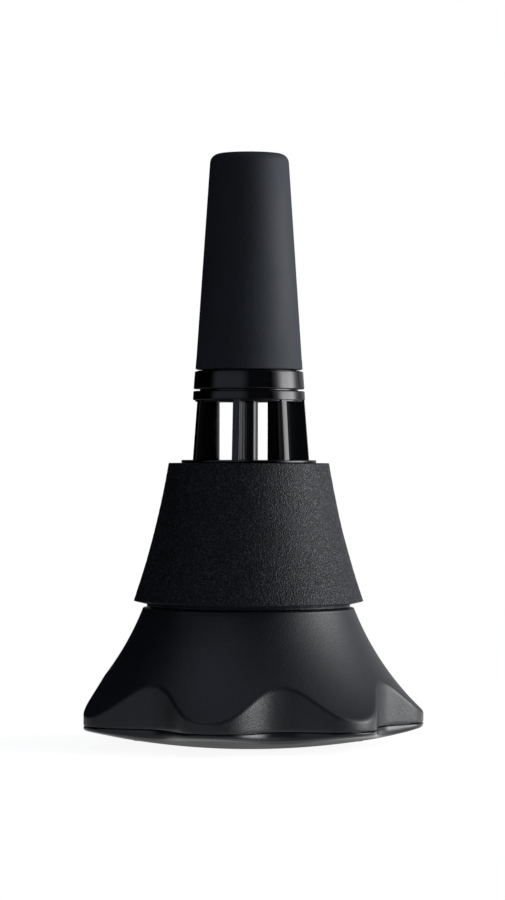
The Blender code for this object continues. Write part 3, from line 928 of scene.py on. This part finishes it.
damper = {
    "bore": 0.0125,
    "topEdge": 0.0006,
    "sway": 0.00008,
    "pit": 0.00006,
    "seed": 3.0,
    "run": 0.001,
    "columns": 220,
}


def makeDamper():
    edges = (damper["topEdge"], fullEdge, fullEdge, damper["topEdge"])
    outline = sleeveOutline("damping_ring", damper["bore"], edges, damper["run"])
    piece = roughFoam("foam_damper", outline, damper)
    give(piece, body, "foam", "damping_ring")


bell = {
    "shoulderEdge": 0.0004,
    "topRadius": 0.0317,
    "arc": 0.0838,
    "baseRadius": 0.0533,
    "baseHeight": 0.0092,
    "crease": 0.0008,  # softness of the crease between flare and lobes
    "creaseFrom": 0.0205,  # closer rings from here down
    "creaseTo": 0.0080,
    "lobeMean": 0.04805,
    "lobeRise": 0.00455,
    "lobeFlank": 0.00015,  # makes the sides of the lobes a little steeper
    "wall": 0.0022,
    "tongueHeight": 0.0016,
    "lowerEdge": 0.0002,
    "neckBore": 0.0205,
    "grooveIn": 0.0265,
    "grooveOut": 0.0295,
    "grooveDepth": 0.0013,
    "pilot": 0.0015,
    "postWall": 0.0018,
    "pilotDepth": 0.0100,
    "neckCircle": 0.0238,
    "screws": 3,
    "screwTurn": radians(90),
    "columns": 448,
}


def bellFlare():
    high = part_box("bell_shell")[1]
    return flareThrough((bell["topRadius"], high.z - bell["shoulderEdge"]),
                        (bell["baseRadius"], bell["baseHeight"]), bell["arc"])


def lobeRadius(angle, inset=0.0):
    turn = lobes * angle
    radius = bell["lobeMean"] + bell["lobeRise"] * cos(turn) - bell["lobeFlank"] * cos(3 * turn)
    slope = lobes * (3 * bell["lobeFlank"] * sin(3 * turn) - bell["lobeRise"] * sin(turn)) / radius
    return radius - inset * sqrt(1 + slope ** 2)


def creased(flare, height, inset=0.0):
    reach = flareRadius(flare, height, inset)

    def radiusAt(angle):
        outline = lobeRadius(angle, inset)
        near = max(bell["crease"] - abs(reach - outline), 0) / bell["crease"]
        return min(reach, outline) - near ** 2 * bell["crease"] / 4
    return radiusAt


def lobed(inset=0.0):
    return lambda angle: lobeRadius(angle, inset)


def shellRings(flare, start, finish, count, inset=0.0):
    return [(creased(flare, height, inset), height) for height in levels(start, finish, count)]


def lobedRings(rows):
    return [aroundAt(bell["columns"], outline, height) for outline, height in rows]


def screwPlaces(circle):
    return roundPlaces(bell["screws"], circle, bell["screwTurn"])


def makeBell():
    low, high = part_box("bell_shell")
    flare = bellFlare()
    wall = bell["wall"]
    top = high.z
    groove = top - bell["grooveDepth"]
    roof = groove - wall / 2
    edge = bell["shoulderEdge"]
    shoulder = flareRadius(flare, top - edge)
    grooveIn, grooveOut = steady(bell["grooveIn"]), steady(bell["grooveOut"])
    rows = [
        (steady(bell["neckBore"]), top), (grooveIn, top), (grooveIn, groove),
        (grooveOut, groove), (grooveOut, top), (steady(shoulder - edge * 1.25), top),
    ]
    for step in range(1, 5):  # rounded shoulder
        turn = radians(22.5 * step)
        rows.append((steady(shoulder - edge * (1 - sin(turn))), top - edge * (1 - cos(turn))))
    rows += shellRings(flare, top - 2 * edge, bell["creaseFrom"], 18)
    rows += shellRings(flare, bell["creaseFrom"] - 0.0002, bell["creaseTo"], 62)
    lower = bell["lowerEdge"]
    for step in range(4):  # rounded lower edge at the parting
        turn = radians(30 * step)
        rows.append((lobed(lower * (1 - cos(turn))), low.z + lower * (1 - sin(turn))))
    rows += [(lobed(wall), low.z), (lobed(wall), low.z + bell["tongueHeight"] + gap)]
    rows += shellRings(flare, bell["baseHeight"], roof, 24, wall)
    rows += [(steady(bell["neckBore"]), roof)]
    piece = skin("bell_skirt", lobedRings(rows), True)
    places = screwPlaces(plate["screwCircle"])
    posts = rods("posts", places, bell["pilot"] + bell["postWall"], low.z, top)
    foot = low.z - wall
    # The posts end within the wall of the shell.
    limit = lobedRings([*shellRings(flare, top - wall / 2, bell["baseHeight"], 20, wall / 2),
                        (lobed(wall / 2), foot)])
    limit = [[(0.0, 0.0, top - wall / 2)], *limit, [(0.0, 0.0, foot)]]
    combine(posts, skin("limit", limit, False), "INTERSECT")
    combine(piece, posts, "UNION")
    combine(piece, rods("pilots", places, bell["pilot"], foot, low.z + bell["pilotDepth"]),
            "DIFFERENCE")
    combine(piece, rods("neck", screwPlaces(bell["neckCircle"]), bell["pilot"], roof - wall,
                        top + wall), "DIFFERENCE")
    give(piece, body, "shell_plastic", "bell_shell")


plate = {
    "dome": 0.224,
    "foot": 0.0192,
    "floorLevel": 0.0036,
    "floorRadius": 0.0310,
    "riseRadius": 0.0385,
    "edge": 0.00025,
    "round": 0.0009,
    "tongueWall": 0.0015,
    "turret": 0.0105,
    "turretWall": 0.0015,
    "turretTop": 0.0110,
    "turretSteps": 96,
    "vent": (0.0012, 0.0062),  # radius of each hole and of their circle
    "ventSides": 24,
    "screwCircle": 0.0360,
    "screwHead": 0.0030,
    "screwHole": 0.0015,
    "screwSeat": 0.0014,
    "padWall": 0.0030,
}


def domeHeight(radius):
    return sqrt(plate["dome"] ** 2 - plate["foot"] ** 2) - sqrt(plate["dome"] ** 2 - radius ** 2)


def makePlate():
    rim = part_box("bell_shell")[0].z - gap
    edge = plate["edge"]
    outside = bell["wall"] + gap
    inside = outside + plate["tongueWall"]
    tongue = rim + bell["tongueHeight"]
    rows = [
        (steady(plate["floorRadius"]), plate["floorLevel"]), (steady(plate["riseRadius"]), rim),
        (lobed(inside), rim), (lobed(inside), tongue), (lobed(outside), tongue),
        (lobed(outside), rim),
    ]
    for step in range(4):  # rounded upper edge
        turn = radians(30 * step)
        rows.append((lobed(edge * (1 - sin(turn))), rim - edge * (1 - cos(turn))))

    def lowerEdge(turn):
        def sizeAt(angle):
            return min(plate["round"], (rim - edge - domeHeight(lobeRadius(angle))) * 0.9)

        def radiusAt(angle):
            return lobeRadius(angle, sizeAt(angle) * (1 - cos(turn)))

        def heightAt(angle):
            return domeHeight(radiusAt(angle)) + sizeAt(angle) * (1 - sin(turn))
        return radiusAt, heightAt

    def fromLobes(share):
        def radiusAt(angle):
            start = lobeRadius(angle, plate["round"])
            return start + (plate["riseRadius"] - start) * share
        return radiusAt, lambda angle: domeHeight(radiusAt(angle))
    rows += [lowerEdge(radians(90) * step / 8) for step in range(9)]
    rows += [fromLobes(step / 8) for step in range(1, 9)]
    rows += [(steady(radius), domeHeight(radius))
             for radius in levels(plate["riseRadius"], plate["foot"], 12)[1:]]
    rings = [[(0.0, 0.0, plate["floorLevel"])], *lobedRings(rows), [(0.0, 0.0, 0.0)]]
    piece = skin("base_dish", rings, False)
    top = plate["turretTop"]
    foot = plate["floorLevel"] - gap
    bore = plate["turret"] - plate["turretWall"]
    ring = [(plate["turret"], top, softEdge), (plate["turret"], foot, 0), (bore, foot, 0),
            (bore, top, softEdge)]
    combine(piece, turned("turret", roundOff(ring), plate["turretSteps"]), "UNION")
    combine(piece, portRods("vents", plate["vent"], 0.0, plate["floorLevel"], plate["ventSides"]),
            "DIFFERENCE")
    places = screwPlaces(plate["screwCircle"])
    pads = rods("pads", places, plate["screwHole"] + plate["padWall"], foot, rim - gap)
    combine(piece, pads, "UNION")
    seat = domeHeight(plate["screwCircle"]) + gap + plate["screwSeat"] + gap
    combine(piece, rods("heads", places, plate["screwHead"], -through, seat), "DIFFERENCE")
    combine(piece, rods("holes", places, plate["screwHole"], 0.0, rim + through), "DIFFERENCE")
    give(piece, body, "plate_plastic", "base_plate")


seals = {
    "bores": {"tip_seal": 0.0132, "neck_gasket": 0.0268},
    "necks": {"head_grommet": 0.0044, "base_grommet": 0.0087},
    "edge": 0.00025,
    "lip": 0.0010,
    "run": 0.001,
    "ringSteps": 160,
    "grommetSteps": 96,
}


def makeSeals():
    # Seal, gasket and grommets, with the soft edges of moulded rubber.
    for node, bore in seals["bores"].items():
        outline = sleeveOutline(node, bore, [seals["edge"]] * 4, seals["run"])
        give(turned(node + "_ring", outline, seals["ringSteps"]), body, "seal_rubber", node)
    bore = cage["tubeHole"]
    for node, neck in seals["necks"].items():
        low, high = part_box(node)
        lip = high.z - seals["lip"]
        outline = roundOff([(high.x, high.z, fullEdge), (high.x, lip, fineEdge),
                            (neck, lip, crispEdge), (neck, low.z, softEdge),
                            (bore, low.z, fineEdge), (bore, high.z, softEdge)])
        piece = turned(node + "_rubber", fillIn(outline, seals["run"]), seals["grommetSteps"])
        give(piece, body, "seal_rubber", node)


screw = {
    "head": 0.0027,
    "headHeight": 0.0014,
    "headEdge": 0.00035,
    "shank": 0.0012,
    "pitch": 0.00070,
    "threadDepth": 0.00018,
    "threadSlope": 3.2,
    "ringsPerTurn": 10,
    "point": 0.0012,
    "drive": 0.0011,
    "driveDepth": 0.0008,
    "columns": 36,
}


def makeScrew(node):
    low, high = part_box(node)
    middle = ((low.x + high.x) / 2, (low.y + high.y) / 2)
    headTop = low.z + screw["headHeight"]
    outline = roundOff([
        (screw["shank"], headTop, crispEdge), (screw["head"], headTop, crispEdge),
        (screw["head"], low.z, screw["headEdge"]), (screw["drive"], low.z, crispEdge),
    ], False, 4)
    count = round((high.z - headTop) / screw["pitch"] * screw["ringsPerTurn"])
    rows = []
    for height in levels(high.z, headTop, count):
        down = high.z - height
        taper = min(1.0, down / screw["point"] + 0.5)

        def threadAt(angle, down=down, taper=taper):
            phase = (down / screw["pitch"] + angle / (2 * pi)) % 1.0
            ridge = max(0.0, 1 - abs(phase - 0.5) * screw["threadSlope"])
            return (screw["shank"] - screw["threadDepth"] * (1 - ridge)) * taper
        rows.append((threadAt, height))
    rows += [(steady(point.x), point.y) for point in outline[1:]]

    def hexAt(angle):
        return screw["drive"] * cos(radians(30)) / cos(angle % radians(60) - radians(30))
    hexFoot = low.z + screw["driveDepth"]
    rows += [(hexAt, low.z + crispEdge), (hexAt, hexFoot)]
    rings = [aroundAt(screw["columns"], outlineAt, height) for outlineAt, height in rows]
    rings = [[(0.0, 0.0, high.z)], *rings, [(0.0, 0.0, hexFoot + fineEdge)]]
    moved = [[(x + middle[0], y + middle[1], z) for x, y, z in ring] for ring in rings]
    give(skin(node + "_fine", moved, False), body, "screw_steel", node)


def keepCone():
    cone = frame["nodes"]["cone_body"]
    dress(cone, "shell_plastic")
    for face in cone.data.polygons:
        face.material_index = 0


light = {
    # Degrees. A turn counts from the camera's side towards the right, a foot and a top from level.
    "lamps": {
        "key": {"turn": 88, "half": 9, "fade": 21, "foot": -25, "top": 22, "soft": 24,
                "power": 6.4, "tint": "warm"},
        "spill": {"turn": 90, "half": 24, "fade": 20, "foot": -10, "top": 48, "soft": 20,
                  "power": 1.0, "tint": "warm"},
        "fill": {"turn": -43, "half": 25, "fade": 22, "foot": -10, "top": 24, "soft": 16,
                 "power": 0.40, "tint": "cool"},
        "highFill": {"turn": -50, "half": 26, "fade": 26, "foot": 50, "top": 64, "soft": 18,
                     "power": 0.60, "tint": "cool"},
        "front": {"turn": 20, "half": 16, "fade": 16, "foot": -10, "top": 24, "soft": 14,
                  "power": 0.05, "tint": "cool"},
        "farSide": {"turn": 158, "half": 20, "fade": 16, "foot": -10, "top": 30, "soft": 16,
                    "power": 0.38, "tint": "warm"},
    },
    "warm": (0.995, 1.0, 1.03),
    "cool": (0.90, 0.97, 1.17),
    "overhead": 0.22,
    "overheadFrom": 66,
    "overheadSoft": 20,
    "room": 0.004,
}


def tinted(tree, tint, level):
    return addNode(tree, "ShaderNodeVectorMath", {0: tint, "Scale": level},
                   operation="SCALE").outputs[0]


def world():
    # A dark studio: softbox on the right, weak fill at the front left, white to the camera.
    given = bpy.context.scene.world or bpy.data.worlds.new("studio")
    bpy.context.scene.world = given
    given.use_nodes = True
    tree = given.node_tree
    tree.nodes.clear()
    way = addNode(tree, "ShaderNodeSeparateXYZ", {
        "Vector": addNode(tree, "ShaderNodeTexCoord").outputs["Generated"]}).outputs
    lift = calc(tree, "ARCSINE", way["Z"])
    over, soft = radians(light["overheadFrom"]), radians(light["overheadSoft"])
    above = light["room"] + light["overhead"]
    level = ease(tree, lift, over - soft, over + soft, light["room"], above)
    total = tinted(tree, light["cool"], level)
    for lamp in light["lamps"].values():
        turn, half, fade, foot, top, soft = (
            radians(lamp[key]) for key in ("turn", "half", "fade", "foot", "top", "soft"))
        along = plus(tree, times(tree, way["X"], sin(turn)), times(tree, way["Y"], -cos(turn)))
        across = plus(tree, times(tree, way["X"], cos(turn)), times(tree, way["Y"], sin(turn)))
        off = calc(tree, "ABSOLUTE", calc(tree, "ARCTAN2", across, along))
        sides = ease(tree, off, half + fade, half)
        under = ease(tree, lift, foot - soft, foot + soft)
        above = ease(tree, lift, top + soft, top - soft)
        shape = times(tree, sides, times(tree, under, above))
        part = tinted(tree, light[lamp["tint"]], times(tree, shape, lamp["power"]))
        total = vectorMath(tree, "ADD", total, part)[0]
    studio = addNode(tree, "ShaderNodeBackground", {"Color": total, "Strength": 1.0})
    white = addNode(tree, "ShaderNodeBackground", {"Color": (1, 1, 1, 1), "Strength": 1.0})
    seen = addNode(tree, "ShaderNodeLightPath").outputs["Is Camera Ray"]
    both = addNode(tree, "ShaderNodeMixShader", {
        0: seen, 1: studio.outputs[0], 2: white.outputs[0]})
    addNode(tree, "ShaderNodeOutputWorld", {"Surface": both.outputs[0]})


ground = {
    "reach": 30.0,
    "tableEdge": 0.22,  # the key's lower half shines past it
    "drop": 0.00005,
    "tone": 0.50,  # white paper round the object, dark table beyond it
    "farTone": 0.06,
    "paperReach": 0.10,
    "paperFade": 0.42,
    "rough": 0.9,
    "fibres": 900.0,
    "fibreTone": 0.96,
    "lift": 0.915,  # what the camera sees on top, so that the ground is white
    "farLift": 0.985,
    "paintedShine": 0.25,  # how much of the white ground the gloss shows, on the left, as a painted glow
    "paintedKeyShine": 1.0,  # and on the side of the key and close round the rim, as a painted pool of light
    "paintedShineFrom": (0.035, 0.095),
    "paintedRimReach": (0.060, 0.052),
    # painted shadow: under the object the glow that gloss sees drops to the shade share
    "paintedShadowReach": (0.038, 0.047),
    "shade": 0.17,
}


def floor():
    # White to the camera, apart from the object's shadow. To gloss it glows as a painted pool of
    # light, brightest on the key side and round the rim, with a painted shadow under the object.
    form = bmesh.new()
    bmesh.ops.create_grid(form, x_segments=2, y_segments=2, size=ground["reach"])
    for corner in form.verts:
        corner.co.x = min(corner.co.x, ground["tableEdge"])
    plane = meshObject("floor", form)
    material, tree, shader = startFinish("floorPaper", {})[:3]
    place = objectPlace(tree)
    away = vectorMath(tree, "LENGTH", place)["Value"]
    fibres = noiseOf(tree, place, ground["fibres"], 4.0)["Fac"]
    near = ease(tree, away, ground["paperFade"], ground["paperReach"])
    tone = ease(tree, near, 0.0, 1.0, ground["farTone"], ground["tone"])
    tone = times(tree, tone, ease(tree, fibres, 0.3, 0.7, ground["fibreTone"], 1.0))
    plug(tree, shader, {"Base Color": tone, "Roughness": ground["rough"],
                        "Specular IOR Level": 0.0})
    path = addNode(tree, "ShaderNodeLightPath").outputs
    lift = ease(tree, near, 0.0, 1.0, ground["farLift"], ground["lift"])
    across = addNode(tree, "ShaderNodeSeparateXYZ", {"Vector": place}).outputs["X"]
    # Painted pool of light round the rim and on the key side, with a painted shadow under the
    # object; only glossy rays see it.
    paintedPool = calc(tree, "MAXIMUM", ease(tree, across, *ground["paintedShineFrom"]),
               ease(tree, away, *ground["paintedRimReach"]))
    paintedShine = ease(tree, paintedPool, 0.0, 1.0, ground["paintedShine"], ground["paintedKeyShine"])
    paintedShine = times(tree, paintedShine, ease(tree, away, *ground["paintedShadowReach"], ground["shade"]))
    paintedShine = times(tree, path["Is Glossy Ray"], times(tree, near, paintedShine))
    total = plus(tree, times(tree, path["Is Camera Ray"], lift), paintedShine)
    glow = addNode(tree, "ShaderNodeEmission", {"Color": (1, 1, 1, 1), "Strength": total})
    both = addNode(tree, "ShaderNodeAddShader", {0: shader.outputs[0], 1: glow.outputs[0]})
    plug(tree, tree.nodes["Material Output"], {"Surface": both.outputs[0]})
    plane.data.materials.append(material)
    plane.location.z = -ground["drop"]


camera()
makeCap()
makeCore()
makeCage()
makeTube()
print("tip and cage built")
makeFoam()
makeDamper()
print("foam built")
makeBell()
makePlate()
print("bell and base built")
makeSeals()
for node in sorted(frame["nodes"]):
    if "_screw_" in node:
        makeScrew(node)
keepCone()
print("small parts built")
world()
floor()
bpy.context.scene.view_settings.view_transform = "Standard"
